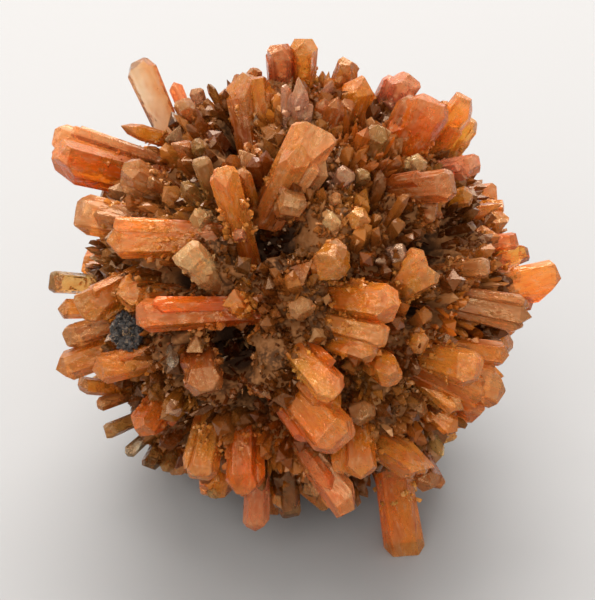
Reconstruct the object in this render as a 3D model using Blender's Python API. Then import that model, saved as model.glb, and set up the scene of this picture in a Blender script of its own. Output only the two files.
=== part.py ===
"""A ball of creedite crystals, about 72 mm across, that grew from one centre and rests on four of its tips.

Every crystal is a convex prism with a cut end, rooted in a lumpy body, and all of them are fused into
one solid.
Metres, +Z up. The ball stands on z = 0, and the origin is under the middle of its bounding box.
"""

import math
import random
from collections import namedtuple

import bmesh
import bpy
from mathutils import Matrix, Vector

# Driving dimensions, in millimetres unless their name says otherwise
MM = 0.001
BALL_CENTRE = Vector((-1.0, 0.5, 30.0))  # middle of the ball above the floor, in the part's frame
CORE_RADIUS = 26.4  # the massive body of the ball, between the crystals
CORE_LUMPS = 1.4  # how far the body's surface rises and falls
PIT_DEPTH = 6.0  # how far the pits of the face go down into it
ROOT_RADIUS = 25.5  # where a crystal comes out of its neighbours
BURIED = 5.0  # length of a crystal below that
FLOOR_GAP = 0.9  # the least height of a tip that isn't a foot
FACE_ELEVATION_DEG = 40.0  # the finished face looks forward (-Y) and up by this much
VIEWPOINT = 450.0  # distance from which the face's layout is given
SEED = 41

# Proportions of a crystal
FINE_WIDTH = 2.6  # a crystal narrower than this has four sides
ROOT_TAPER = 0.80  # width at its buried end, as a share of its full width
FLAT_SECTION = ((1.0, 0.0), (0.58, 1.0), (-0.62, 1.0), (-1.0, 0.0), (-0.55, -1.0), (0.6, -1.0))
RIDGE_SECTION = ((1.0, -0.25), (0.12, 1.0), (-1.0, 0.1), (-0.7, -0.9), (0.55, -1.0))
RHOMB_SECTION = ((1.0, 0.0), (0.0, 1.0), (-1.0, 0.0), (0.0, -1.0))

# The facets of each kind of end. A facet is (azimuth, tilt, overshoot): the azimuth in degrees round the
# crystal's axis, 0 on its left hand as the face is seen and 90 towards the viewer; the tilt from a square
# end; and how far beyond the tip it would cross the axis, as a share of the width.
ENDS = {
    "gable": ((0, 38, 0.0), (180, 38, 0.0), (90, 50, 0.10), (270, 55, 0.12)),
    "chisel": ((0, 54, 0.0), (180, 52, 0.0), (90, 46, 0.08), (270, 56, 0.12)),
    "spire": ((5, 72, 0.0), (180, 70, 0.0), (90, 66, 0.0), (270, 68, 0.0)),
    "left": ((0, 54, 0.05), (180, 16, 0.0), (90, 48, 0.16), (270, 55, 0.16)),
    "right": ((180, 54, 0.05), (0, 16, 0.0), (90, 48, 0.16), (270, 55, 0.16)),
    "blunt": ((40, 10, 0.0), (0, 52, 0.30), (180, 48, 0.26), (90, 50, 0.18), (270, 55, 0.18)),
    "facet": ((90, 46, 0.0), (0, 48, 0.16), (180, 46, 0.16), (270, 52, 0.08)),
    "roof": ((0, 46, 0.0), (180, 50, 0.0)),
    "wedge": ((90, 56, 0.0), (270, 58, 0.0), (0, 42, 0.24), (180, 40, 0.24)),
}
CORNER_MERGE = 0.02  # corners nearer to each other than this are one
FLAT_WITHIN = math.radians(0.4)  # neighbouring triangles this close to one plane are one facet
AZIMUTH_JITTER_DEG = 9.0
TILT_JITTER_DEG = 5.0

# A crystal of the face. Its tip and root are (across, up) on the face, in mm from the ball's middle, as they
# are seen from VIEWPOINT; reach is the tip's distance from the middle of the ball, and lean moves a tip that
# stands at the rim towards the viewer (+) or away (-).
Crystal = namedtuple(
    "Crystal", "name tip root reach width thick end lean section", defaults=(0.0, FLAT_SECTION)
)
RIDGE = dict(section=RIDGE_SECTION)

UPPER_LEFT = (
    Crystal("left_blade_top", (-34.2, 21.4), (-21.5, 17.6), 40.0, 4.6, 3.4, "blunt"),
    Crystal("left_blade", (-34.0, 18.4), (-21.0, 15.2), 39.0, 6.6, 4.4, "left"),
    Crystal("top_left_clear", (-22.4, 31.8), (-18.8, 23.7), 38.9, 4.5, 2.6, "blunt"),
    Crystal("top_left_pink", (-17.3, 29.0), (-15.5, 24.6), 33.7, 2.2, 1.8, "gable"),
    Crystal("left_dart", (-24.8, 22.8), (-16.4, 20.3), 33.8, 2.7, 2.4, "spire", 1.5),
    Crystal("tan_wedge", (-15.9, 26.4), (-14.0, 21.2), 32.0, 3.0, 2.4, "right"),
    Crystal("clear_tip", (-14.3, 27.8), (-13.2, 24.6), 31.5, 2.3, 1.9, "blunt"),
    Crystal("rim_spike", (-12.6, 28.8), (-10.6, 25.2), 31.6, 1.7, 1.5, "spire"),
    Crystal("rim_tip_west", (-8.5, 30.0), (-7.6, 25.5), 31.3, 1.8, 1.6, "chisel"),
    Crystal("rim_tip_east", (-6.1, 30.9), (-5.8, 26.0), 31.6, 2.2, 1.8, "gable"),
    Crystal("olive_wedge", (-14.4, 20.8), (-12.4, 17.4), 30.8, 2.6, 2.2, "chisel"),
    Crystal("twin_green", (-13.7, 18.2), (-11.6, 12.4), 32.2, 2.9, 2.4, "blunt"),
    Crystal("twin_diamond", (-10.6, 16.9), (-7.9, 7.6), 34.4, 4.4, 3.6, "facet", **RIDGE),
    Crystal("striated_tan", (-7.8, 16.6), (-6.4, 12.2), 31.2, 2.5, 2.2, "right"),
    Crystal("pale_tips", (-16.2, 14.8), (-13.6, 12.2), 29.8, 2.8, 2.2, "chisel"),
)

UPPER_MIDDLE = (
    Crystal("top_pink", (-2.3, 33.8), (-2.2, 27.0), 34.6, 4.0, 3.0, "right"),
    Crystal("top_gold", (0.9, 34.7), (0.7, 27.5), 35.4, 3.9, 3.2, "gable"),
    Crystal("top_amber", (7.4, 31.6), (4.9, 26.0), 33.0, 3.5, 2.8, "right"),
    Crystal("top_spike", (4.9, 29.3), (3.0, 24.6), 32.0, 1.8, 1.6, "spire"),
    Crystal("top_rust", (5.6, 26.8), (3.8, 21.6), 31.4, 3.8, 3.0, "chisel"),
    Crystal("top_spire", (0.1, 29.8), (-0.2, 21.0), 34.2, 3.8, 3.2, "spire", **RIDGE),
    Crystal("peach_bulk", (2.9, 22.6), (-2.0, 13.6), 34.4, 6.4, 5.2, "wedge"),
    Crystal("brown_block", (-0.7, 12.2), (-0.9, 11.2), 30.6, 4.6, 4.0, "blunt"),
    Crystal("lilac_lump", (7.0, 16.4), (5.8, 14.6), 29.4, 2.9, 2.6, "facet"),
    Crystal("olive_block", (9.4, 16.2), (8.2, 14.4), 29.6, 2.4, 2.2, "blunt"),
    Crystal("pink_ridge", (5.6, 13.2), (4.6, 11.0), 29.2, 2.4, 2.0, "chisel"),
    Crystal("cream_flake", (5.0, 9.4), (4.4, 8.8), 29.8, 3.0, 2.2, "facet"),
    Crystal("tan_lobe", (9.0, 10.0), (7.6, 9.4), 30.2, 3.4, 2.8, "gable"),
)

UPPER_RIGHT = (
    Crystal("pink_blade", (15.5, 29.8), (11.8, 24.0), 34.0, 4.6, 2.6, "left"),
    Crystal("grey_tip", (9.2, 27.9), (8.2, 24.0), 30.4, 2.0, 1.8, "gable"),
    Crystal("north_east_brown", (16.4, 26.7), (12.6, 19.6), 33.4, 4.2, 3.4, "blunt"),
    Crystal("north_east_big", (19.2, 26.4), (14.4, 18.4), 35.0, 7.0, 4.8, "blunt"),
    Crystal("north_east_point", (24.2, 26.5), (17.4, 18.4), 36.4, 4.6, 3.6, "right"),
    Crystal("north_east_pale", (24.4, 24.0), (19.8, 17.6), 34.4, 3.8, 2.8, "blunt", -3.0),
    Crystal("olive_face", (11.8, 22.6), (9.6, 18.0), 31.2, 3.8, 3.2, "facet"),
    Crystal("white_flake", (17.3, 18.0), (15.6, 16.2), 30.2, 3.0, 2.0, "facet"),
    Crystal("east_striated", (25.3, 17.3), (18.8, 16.4), 32.6, 3.6, 2.8, "right"),
    Crystal("east_lump", (21.8, 14.6), (12.6, 13.6), 34.2, 4.6, 4.0, "blunt"),
    Crystal("east_amber", (24.6, 13.2), (19.6, 11.8), 30.6, 3.2, 2.8, "gable"),
    Crystal("east_dart", (29.0, 12.0), (22.6, 9.8), 32.0, 2.7, 2.4, "spire"),
    Crystal("east_knob", (30.8, 6.8), (23.6, 6.0), 32.0, 2.8, 2.4, "blunt"),
    Crystal("east_clear", (32.3, 5.6), (25.0, 2.4), 33.0, 3.2, 2.6, "left", -2.5),
    Crystal("far_east_blade", (36.8, 1.6), (24.5, -0.6), 37.0, 6.4, 3.4, "right", -2.0),
    Crystal("east_prism", (32.6, -4.0), (20.6, -1.6), 34.6, 4.1, 3.6, "chisel", 3.0),
    Crystal("east_round", (26.8, 3.0), (21.0, 2.4), 31.4, 3.4, 3.0, "blunt"),
    Crystal("lilac_tan", (14.8, 5.0), (13.2, 4.4), 29.6, 3.0, 2.6, "facet"),
)

MIDDLE = (
    Crystal("amber_heart", (5.2, 3.8), (4.2, 3.4), 32.6, 5.6, 4.8, "facet"),
    Crystal("middle_lobe", (14.0, -2.4), (6.2, -1.4), 34.6, 5.8, 4.8, "gable"),
    Crystal("middle_low_lobe", (12.4, -6.8), (4.2, -4.8), 33.8, 3.9, 3.6, "blunt"),
    Crystal("middle_third_lobe", (10.9, -9.2), (4.6, -7.4), 32.6, 3.5, 3.0, "gable"),
    Crystal("middle_tan", (0.6, -3.0), (0.2, -2.4), 29.6, 3.6, 3.0, "blunt"),
    Crystal("gold_prism", (5.4, -15.0), (-0.6, -8.2), 35.4, 5.0, 4.2, "facet"),
    Crystal("amber_knob", (-7.8, 2.0), (-7.2, 1.8), 27.8, 3.2, 2.8, "gable"),
    Crystal("deep_knob", (-4.8, -11.1), (-4.4, -10.2), 27.4, 3.4, 3.0, "blunt"),
    Crystal("cream_block", (-16.0, 5.2), (-12.2, 1.8), 33.0, 4.6, 4.2, "blunt"),
    Crystal("pink_stub", (-8.5, 7.8), (-7.6, 7.0), 28.6, 2.2, 2.0, "chisel"),
    Crystal("cream_sparkle", (-14.4, 10.2), (-13.0, 9.2), 29.2, 3.0, 2.4, "chisel"),
)

LEFT = (
    Crystal("left_round", (-31.0, 10.6), (-22.4, 8.8), 33.2, 6.0, 4.4, "blunt"),
    Crystal("left_prism", (-26.8, 6.6), (-14.4, 6.6), 33.6, 5.7, 4.8, "gable"),
    Crystal("left_clear", (-34.5, 1.0), (-25.5, 0.4), 35.0, 3.7, 2.8, "blunt"),
    Crystal("left_stub", (-33.6, -2.8), (-25.0, -2.8), 34.0, 2.8, 2.6, "gable"),
    Crystal("left_thorn", (-29.4, 4.4), (-24.5, 3.4), 30.2, 1.7, 1.5, "spire"),
    Crystal("red_block", (-22.6, -3.9), (-10.6, -3.3), 32.6, 5.1, 4.6, "blunt"),
    Crystal("grey_patch", (-24.0, -6.1), (-22.6, -5.8), 29.6, 4.4, 3.6, "blunt"),
    Crystal("left_window", (-32.7, -7.0), (-23.6, -4.4), 34.0, 3.8, 3.4, "blunt"),
    Crystal("left_amber", (-33.8, -11.3), (-22.6, -7.4), 36.0, 4.6, 3.8, "gable"),
    Crystal("left_red", (-28.7, -11.4), (-18.6, -9.2), 33.0, 4.7, 4.0, "gable"),
    Crystal("low_amber", (-30.6, -13.4), (-23.2, -14.2), 33.6, 2.8, 2.4, "left"),
    Crystal("low_tan", (-28.0, -16.3), (-23.0, -14.6), 32.6, 2.0, 1.8, "gable"),
    Crystal("low_olive", (-26.7, -20.0), (-21.6, -17.8), 33.6, 2.6, 2.2, "blunt"),
    Crystal("tiny_clear", (-23.8, -23.1), (-20.6, -20.2), 33.4, 1.9, 1.6, "gable"),
    Crystal("olive_clear", (-20.8, -24.8), (-18.8, -20.6), 32.6, 2.8, 2.2, "blunt"),
    Crystal("olive_clear_east", (-18.4, -25.4), (-17.0, -21.4), 31.6, 2.4, 2.0, "gable"),
)

LOWER = (
    Crystal("brown_facet", (-12.7, -14.2), (-13.4, -9.6), 32.4, 5.6, 4.8, "facet"),
    Crystal("glass_shard", (-17.4, -10.9), (-17.6, -8.0), 30.6, 1.9, 1.5, "chisel"),
    Crystal("lilac_facet", (-17.5, -17.4), (-16.6, -14.6), 30.6, 2.8, 2.4, "facet"),
    Crystal("low_round", (-13.6, -26.6), (-12.2, -19.6), 32.6, 4.8, 4.2, "blunt"),
    Crystal("low_orange", (-7.8, -28.8), (-7.6, -20.4), 33.2, 5.3, 4.4, "facet"),
    Crystal("low_yellow", (-11.8, -29.1), (-11.2, -24.6), 32.0, 2.0, 1.8, "gable"),
    Crystal("low_pink", (-5.9, -33.9), (-5.6, -23.6), 34.6, 3.9, 2.8, "gable"),
    Crystal("low_glass", (-1.0, -32.2), (-1.4, -24.6), 33.0, 3.2, 2.6, "blunt", -4.0),
    Crystal("orange_bulk", (6.0, -22.0), (-1.4, -13.4), 34.8, 7.0, 5.4, "blunt"),
    Crystal("long_tan", (7.9, -31.0), (0.6, -21.6), 34.6, 5.3, 4.4, "left"),
    Crystal("lilac_diamond", (8.9, -26.6), (8.2, -17.6), 34.4, 5.4, 4.4, "gable"),
    Crystal("tan_block", (9.4, -18.0), (8.4, -16.2), 30.8, 4.2, 3.6, "facet"),
    Crystal("south_east_rust", (18.7, -27.8), (15.6, -21.0), 34.2, 4.0, 3.4, "gable"),
    Crystal("south_east_yellow", (20.3, -23.5), (17.8, -18.6), 32.0, 2.0, 1.6, "spire"),
)

LOWER_RIGHT = (
    Crystal("south_east_spike", (28.8, -7.4), (23.8, -6.2), 30.4, 1.8, 1.6, "spire"),
    Crystal("south_east_upper", (29.6, -9.3), (19.2, -8.0), 33.0, 3.8, 3.2, "gable"),
    Crystal("south_east_lower", (28.8, -14.4), (18.4, -10.2), 33.8, 6.2, 4.4, "left"),
    Crystal("south_east_mass", (25.4, -11.6), (18.0, -9.4), 33.8, 5.6, 5.0, "blunt"),
    Crystal("orange_knob", (17.4, -7.8), (15.8, -7.0), 30.2, 3.2, 2.8, "blunt"),
    Crystal("sparkle_east", (24.2, -9.4), (21.0, -8.2), 30.6, 2.6, 2.2, "chisel"),
    Crystal("sparkle_low", (17.6, -17.6), (15.8, -15.2), 29.6, 3.0, 2.4, "chisel"),
    Crystal("south_east_tan", (23.4, -17.0), (18.0, -13.0), 31.4, 3.8, 3.0, "chisel"),
    Crystal("south_east_rim", (22.4, -20.0), (17.4, -15.6), 31.6, 3.4, 2.8, "gable"),
)

FACE_CRYSTALS = UPPER_LEFT + UPPER_MIDDLE + UPPER_RIGHT + MIDDLE + LEFT + LOWER + LOWER_RIGHT

# The four crystals that the ball rests on: where each meets the floor, from the point under the ball's
# middle, its root from that middle, and its width and thickness. The first is the long blade that points
# down and forward on the face.
Foot = namedtuple("Foot", "name floor_point root width thick")
FEET = (
    Foot("bottom_blade", (15.2, -20.8), (12.6, -16.6, -13.2), 6.7, 4.0),
    Foot("front_foot", (-3.6, -13.2), (-3.0, -12.6, -20.0), 3.0, 2.6),
    Foot("back_left_foot", (-13.5, 11.5), (-9.5, 8.5, -20.0), 4.6, 4.0),
    Foot("back_right_foot", (13.0, 13.5), (9.0, 9.5, -20.0), 4.4, 4.2),
)
FOOT_OVERRUN = 3.0  # how far a foot would pass the floor if it weren't cut there

# The crystals of the sides, the back and the underside, and the small ones between the large ones everywhere
Growth = namedtuple("Growth", "tries reach width spacing ends section")
LARGE = Growth(
    900, (31.0, 35.8), (4.8, 7.4), 1.20, ("gable", "chisel", "blunt", "left", "right", "wedge"), FLAT_SECTION
)
SMALL = Growth(2600, (27.6, 30.2), (3.4, 5.4), 1.21, ("roof",), RHOMB_SECTION)
LIMITS = (33.5, 33.5, 32.5)  # how far they reach across, along and up from the ball's middle
GOLDEN_ANGLE = math.pi * (3.0 - math.sqrt(5.0))

# Pits between the crystals of the face, as (across, up, radius) on the face, kept free of small crystals
PITS = (
    (-4.5, 6.2, 3.6),
    (-4.9, 12.2, 1.6),
    (3.2, 14.6, 1.6),
    (-9.8, -7.8, 4.4),
    (-5.6, -14.1, 2.0),
    (-13.0, -18.0, 2.0),
    (15.8, -2.6, 2.2),
    (15.7, -12.5, 2.2),
    (17.6, 5.0, 2.2),
    (-8.3, 19.2, 2.2),
    (-19.6, 16.6, 2.4),
    (-15.8, 0.7, 1.5),
)

ELEVATION = math.radians(FACE_ELEVATION_DEG)
TO_VIEWER = Vector((0.0, -math.cos(ELEVATION), math.sin(ELEVATION)))
UP_FACE = Vector((0.0, math.sin(ELEVATION), math.cos(ELEVATION)))
ACROSS_FACE = Vector((1.0, 0.0, 0.0))
TO_PART_FRAME = Matrix.Scale(MM, 4) @ Matrix.Translation(BALL_CENTRE)


def from_face(across, up, depth):
    """Where a point is, from the ball's middle, that is seen at (across, up) and depth towards the viewer."""
    nearer = 1.0 - depth / VIEWPOINT
    return ACROSS_FACE * (across * nearer) + UP_FACE * (up * nearer) + TO_VIEWER * depth


def on_sphere(across, up, radius):
    """The near point of a sphere about the ball's middle that is seen there, or the place on its rim."""
    depth = 0.0
    for _ in range(4):
        nearer = 1.0 - depth / VIEWPOINT
        depth = math.sqrt(max(radius**2 - (across**2 + up**2) * nearer**2, 0.0))
    return from_face(across, up, depth)


# A crystal that has been made: its mesh, the direction of its root and its width
Standing = namedtuple("Standing", "mesh base width")


def axes_round(direction):
    """The crystal's left hand and its near side, as the face is seen."""
    left = TO_VIEWER.cross(direction)
    if left.length < 0.05:
        left = ACROSS_FACE - direction * ACROSS_FACE.dot(direction)
    left.normalize()
    return left, direction.cross(left).normalized()


def hull_of(points):
    """The convex solid that has these points as its corners."""
    solid = bmesh.new()
    for point in points:
        solid.verts.new(point)
    bmesh.ops.remove_doubles(solid, verts=solid.verts[:], dist=CORNER_MERGE)
    made = bmesh.ops.convex_hull(solid, input=solid.verts[:])
    inner = [part for part in made["geom_interior"] if isinstance(part, bmesh.types.BMVert)]
    bmesh.ops.delete(solid, geom=inner, context="VERTS")
    return solid


def cut(solid, point, normal):
    """The part of a convex solid behind a plane, closed by one facet."""
    parts = solid.verts[:] + solid.edges[:] + solid.faces[:]
    bmesh.ops.bisect_plane(
        solid, geom=parts, dist=CORNER_MERGE / 2, plane_co=point, plane_no=normal, clear_outer=True
    )
    points = [vert.co.copy() for vert in solid.verts]
    solid.free()
    return hull_of(points)


def crystal_mesh(name, root, tip, width, thick, facets, section, roll, rng):
    """A convex crystal from root to tip, in mm from the ball's middle, with its end cut to facets."""
    axis = (tip - root).normalized()
    left, near = axes_round(axis)
    turn = Matrix.Rotation(roll, 3, axis)
    left, near = turn @ left, turn @ near
    crystal = hull_of(
        centre + left * (u * scale * width / 2) + near * (v * scale * thick / 2)
        for centre, scale in ((root, ROOT_TAPER), (tip, 1.0))
        for u, v in section
    )
    for azimuth, tilt, overshoot in facets:
        azimuth = math.radians(azimuth + rng.uniform(-AZIMUTH_JITTER_DEG, AZIMUTH_JITTER_DEG))
        tilt = math.radians(tilt + rng.uniform(-TILT_JITTER_DEG, TILT_JITTER_DEG))
        sideways = left * math.cos(azimuth) + near * math.sin(azimuth)
        normal = axis * math.cos(tilt) + sideways * math.sin(tilt)
        crystal = cut(crystal, tip + axis * (overshoot * width), normal)
    floor = -BALL_CENTRE.z
    if min(vert.co.z for vert in crystal.verts) < floor:
        crystal = cut(crystal, Vector((0.0, 0.0, floor)), Vector((0.0, 0.0, -1.0)))
    bmesh.ops.dissolve_limit(
        crystal, angle_limit=FLAT_WITHIN, verts=crystal.verts[:], edges=crystal.edges[:]
    )
    bmesh.ops.recalc_face_normals(crystal, faces=crystal.faces[:])
    bmesh.ops.transform(crystal, matrix=TO_PART_FRAME, verts=crystal.verts)
    mesh = bpy.data.meshes.new(name)
    crystal.to_mesh(mesh)
    crystal.free()
    return mesh


def clear_of_floor(tip):
    """The tip, drawn back towards the ball's middle if it would come too near the floor."""
    lowest = FLOOR_GAP - BALL_CENTRE.z
    return tip * (lowest / tip.z) if tip.z < lowest else tip


def face_crystals(rng):
    """The crystals of the face, each at its own place."""
    made = []
    for item in FACE_CRYSTALS:
        tip = clear_of_floor(on_sphere(*item.tip, item.reach) + TO_VIEWER * item.lean)
        visible_root = on_sphere(*item.root, ROOT_RADIUS)
        root = visible_root - (tip - visible_root).normalized() * BURIED
        section = RHOMB_SECTION if item.width < FINE_WIDTH else item.section
        mesh = crystal_mesh(item.name, root, tip, item.width, item.thick, ENDS[item.end], section, 0.0, rng)
        made.append(Standing(mesh, visible_root.normalized(), item.width))
    return made


def foot_crystals(rng):
    """The crystals that the ball rests on, cut flat where they meet the floor."""
    made = []
    for foot in FEET:
        root = Vector(foot.root)
        floor_point = Vector((*foot.floor_point, -BALL_CENTRE.z))
        axis = (floor_point - root).normalized()
        tip = floor_point + axis * FOOT_OVERRUN
        mesh = crystal_mesh(
            foot.name, root - axis * BURIED, tip, foot.width, foot.thick, (), FLAT_SECTION, 0.0, rng
        )
        made.append(Standing(mesh, root.normalized(), foot.width))
    return made


def spread_directions(count, rng):
    """Directions spread evenly over a sphere, in no order."""
    places = list(range(count))
    rng.shuffle(places)
    for i in places:
        z = 1.0 - 2.0 * (i + 0.5) / count
        angle = GOLDEN_ANGLE * i
        ring = math.sqrt(1.0 - z * z)
        yield Vector((ring * math.cos(angle), ring * math.sin(angle), z))


def pit_at(direction):
    """How deep in a pit of the face this direction is: 0 outside, 1 at a pit's middle."""
    if direction.dot(TO_VIEWER) < 0.0:
        return 0.0
    across, up = direction.dot(ACROSS_FACE) * ROOT_RADIUS, direction.dot(UP_FACE) * ROOT_RADIUS
    nearness = (1.0 - math.hypot(across - x, up - y) / radius for x, y, radius in PITS)
    return max(0.0, *nearness)


def is_taken(direction, width, spacing, standing):
    """Whether a crystal that is already there stands too near this place."""
    return any(
        direction.angle(other.base) < spacing * (width + other.width) / 2 / CORE_RADIUS for other in standing
    )


def grown(growth, standing, rng):
    """Crystals that fill the room that the ones already there leave."""
    made = []
    for direction in spread_directions(growth.tries, rng):
        width = rng.uniform(*growth.width)
        if pit_at(direction) > 0.0 or is_taken(direction, width, growth.spacing, standing + made):
            continue
        bend = Vector((rng.gauss(0, 0.10), rng.gauss(0, 0.10), rng.gauss(0, 0.10)))
        tip = (direction + bend).normalized() * rng.uniform(*growth.reach)
        overrun = max(abs(tip.x) / LIMITS[0], abs(tip.y) / LIMITS[1], tip.z / LIMITS[2], 1.0)
        tip = clear_of_floor(tip / overrun)
        root = direction * (CORE_RADIUS - BURIED)
        facets = ENDS[rng.choice(growth.ends)]
        thick = width * rng.uniform(0.70, 0.95)
        roll = rng.uniform(0.0, math.pi)
        mesh = crystal_mesh("crystal", root, tip, width, thick, facets, growth.section, roll, rng)
        made.append(Standing(mesh, direction, width))
    return made


def core_mesh():
    """The body of the ball, lumpy and hollowed by the pits of the face."""
    rng = random.Random(SEED)
    core = bmesh.new()
    bmesh.ops.create_icosphere(core, subdivisions=3, radius=CORE_RADIUS)
    for vert in core.verts:
        depth = PIT_DEPTH * math.sqrt(pit_at(vert.co.normalized()))
        vert.co *= 1.0 + (rng.uniform(-CORE_LUMPS, CORE_LUMPS) - depth) / CORE_RADIUS
    bmesh.ops.transform(core, matrix=TO_PART_FRAME, verts=core.verts)
    mesh = bpy.data.meshes.new("core")
    core.to_mesh(mesh)
    core.free()
    return mesh


def fused(core, meshes):
    """One closed mesh of the core and every crystal on it, with no pocket left inside.

    The exact solver leaves open edges where this many crystals meet, so the union uses the manifold one.
    """
    body = bpy.data.objects.new("core", core)
    bpy.context.scene.collection.objects.link(body)
    growth = []
    for mesh in meshes:
        crystal = bpy.data.objects.new(mesh.name, mesh)
        bpy.context.scene.collection.objects.link(crystal)
        union = body.modifiers.new("fuse", "BOOLEAN")
        union.operation = "UNION"
        union.object = crystal
        union.solver = "MANIFOLD"
        growth.append(crystal)
    bpy.context.view_layer.update()
    whole = bpy.data.meshes.new_from_object(body.evaluated_get(bpy.context.evaluated_depsgraph_get()))
    for obj in [body] + growth:
        bpy.data.objects.remove(obj)
    return without_pockets(whole)


def without_pockets(mesh):
    """Keeps the outer skin alone: the rest are small pockets closed in between crystals."""
    skin = bmesh.new()
    skin.from_mesh(mesh)
    unseen = set(skin.faces)
    shells = []
    while unseen:
        shell = {unseen.pop()}
        edge = list(shell)
        while edge:
            face = edge.pop()
            for beside in {near for side in face.edges for near in side.link_faces} & unseen:
                unseen.discard(beside)
                shell.add(beside)
                edge.append(beside)
        shells.append(shell)
    outer = max(shells, key=lambda shell: sum(face.calc_area() for face in shell))
    pockets = [face for shell in shells if shell is not outer for face in shell]
    bmesh.ops.delete(skin, geom=pockets, context="FACES")
    skin.to_mesh(mesh)
    skin.free()
    return mesh


def creedite_material():
    """Clear orange crystal with a glassy surface."""
    material = bpy.data.materials.new("creedite_orange")
    material.use_nodes = True
    shader = material.node_tree.nodes["Principled BSDF"]
    shader.inputs["Base Color"].default_value = (0.56, 0.19, 0.05, 1.0)
    shader.inputs["Roughness"].default_value = 0.2
    shader.inputs["Metallic"].default_value = 0.0
    shader.inputs["IOR"].default_value = 1.47
    return material


def main():
    for obj in list(bpy.data.objects):
        bpy.data.objects.remove(obj)
    rng = random.Random(SEED)
    standing = foot_crystals(rng) + face_crystals(rng)
    standing += grown(LARGE, standing, rng)
    standing += grown(SMALL, standing, rng)
    cluster = bpy.data.objects.new("creedite_cluster", fused(core_mesh(), [item.mesh for item in standing]))
    cluster.data.name = "creedite_cluster"
    cluster.data.materials.clear()
    cluster.data.materials.append(creedite_material())
    bpy.context.scene.collection.objects.link(cluster)


main()
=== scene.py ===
"""A loose ball of creedite crystals on a pale table: clear orange prisms and blades over brown druse."""

import math
import random
from collections import namedtuple

import bmesh
import bpy
import numpy as np
from mathutils import Matrix, Vector, noise


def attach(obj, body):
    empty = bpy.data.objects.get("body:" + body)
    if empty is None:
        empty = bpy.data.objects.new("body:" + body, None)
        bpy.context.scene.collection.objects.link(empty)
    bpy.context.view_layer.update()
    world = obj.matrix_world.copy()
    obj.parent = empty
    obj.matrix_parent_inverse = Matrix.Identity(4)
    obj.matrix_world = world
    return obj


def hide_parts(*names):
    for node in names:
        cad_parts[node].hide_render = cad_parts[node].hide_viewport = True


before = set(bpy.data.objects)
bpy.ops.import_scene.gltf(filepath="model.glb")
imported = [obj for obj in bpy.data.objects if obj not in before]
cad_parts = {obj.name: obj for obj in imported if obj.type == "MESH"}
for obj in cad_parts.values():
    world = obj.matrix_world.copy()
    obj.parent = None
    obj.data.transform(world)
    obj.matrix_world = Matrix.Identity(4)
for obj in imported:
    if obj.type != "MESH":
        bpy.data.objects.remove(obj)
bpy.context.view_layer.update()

# Driving dimensions, in millimetres unless their name says otherwise
MM = 0.001
BALL_CENTRE = Vector((-1.0, 0.5, 30.0))  # middle of the ball above the floor, in the part's frame
CORE_RADIUS = 26.4  # the solid's massive body, between the crystals
ROOT_RADIUS = 25.5  # where a crystal comes out of its neighbours
BURIED = 5.0  # length of a crystal below that
FLOOR_GAP = 0.9  # the least height of a tip that isn't a foot
FACE_ELEVATION_DEG = 40.0  # the finished face looks forward (-Y) and up by this much
VIEWPOINT = 450.0  # distance from which the face's layout is given
SEED = 41

# Proportions of a crystal
FINE_WIDTH = 2.6  # a crystal narrower than this has four sides
ROOT_TAPER = 0.80  # width at its buried end, as a share of its full width
FLAT_SECTION = ((1.0, 0.0), (0.58, 1.0), (-0.62, 1.0), (-1.0, 0.0), (-0.55, -1.0), (0.6, -1.0))
RIDGE_SECTION = ((1.0, -0.25), (0.12, 1.0), (-1.0, 0.1), (-0.7, -0.9), (0.55, -1.0))
RHOMB_SECTION = ((1.0, 0.0), (0.0, 1.0), (-1.0, 0.0), (0.0, -1.0))

# The facets of each kind of end. A facet is (azimuth, tilt, overshoot): the azimuth in degrees round the
# crystal's axis, 0 on its left hand as the face is seen and 90 towards the viewer; the tilt from a square
# end; and how far beyond the tip it would cross the axis, as a share of the width.
ENDS = {
    "gable": ((0, 38, 0.0), (180, 38, 0.0), (90, 50, 0.10), (270, 55, 0.12)),
    "chisel": ((0, 54, 0.0), (180, 52, 0.0), (90, 46, 0.08), (270, 56, 0.12)),
    "spire": ((5, 72, 0.0), (180, 70, 0.0), (90, 66, 0.0), (270, 68, 0.0)),
    "left": ((0, 54, 0.05), (180, 16, 0.0), (90, 48, 0.16), (270, 55, 0.16)),
    "right": ((180, 54, 0.05), (0, 16, 0.0), (90, 48, 0.16), (270, 55, 0.16)),
    "blunt": ((40, 10, 0.0), (0, 52, 0.30), (180, 48, 0.26), (90, 50, 0.18), (270, 55, 0.18)),
    "facet": ((90, 46, 0.0), (0, 48, 0.16), (180, 46, 0.16), (270, 52, 0.08)),
    "roof": ((0, 46, 0.0), (180, 50, 0.0)),
    "wedge": ((90, 56, 0.0), (270, 58, 0.0), (0, 42, 0.24), (180, 40, 0.24)),
}
CORNER_MERGE = 0.02  # corners nearer to each other than this are one
FLAT_WITHIN = math.radians(0.4)  # neighbouring triangles this close to one plane are one facet
JITTER_DEG = (9.0, 5.0)  # of a facet's azimuth and tilt

# The crystals of the face. Tip and root are (across, up) on the face, in mm from the ball's middle, as seen
# from VIEWPOINT; reach is the tip's distance from that middle, and lean moves a tip that stands at the rim
# towards the viewer (+) or away (-).
Crystal = namedtuple(
    "Crystal", "name tip root reach width thick end lean section", defaults=(0.0, FLAT_SECTION)
)

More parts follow.
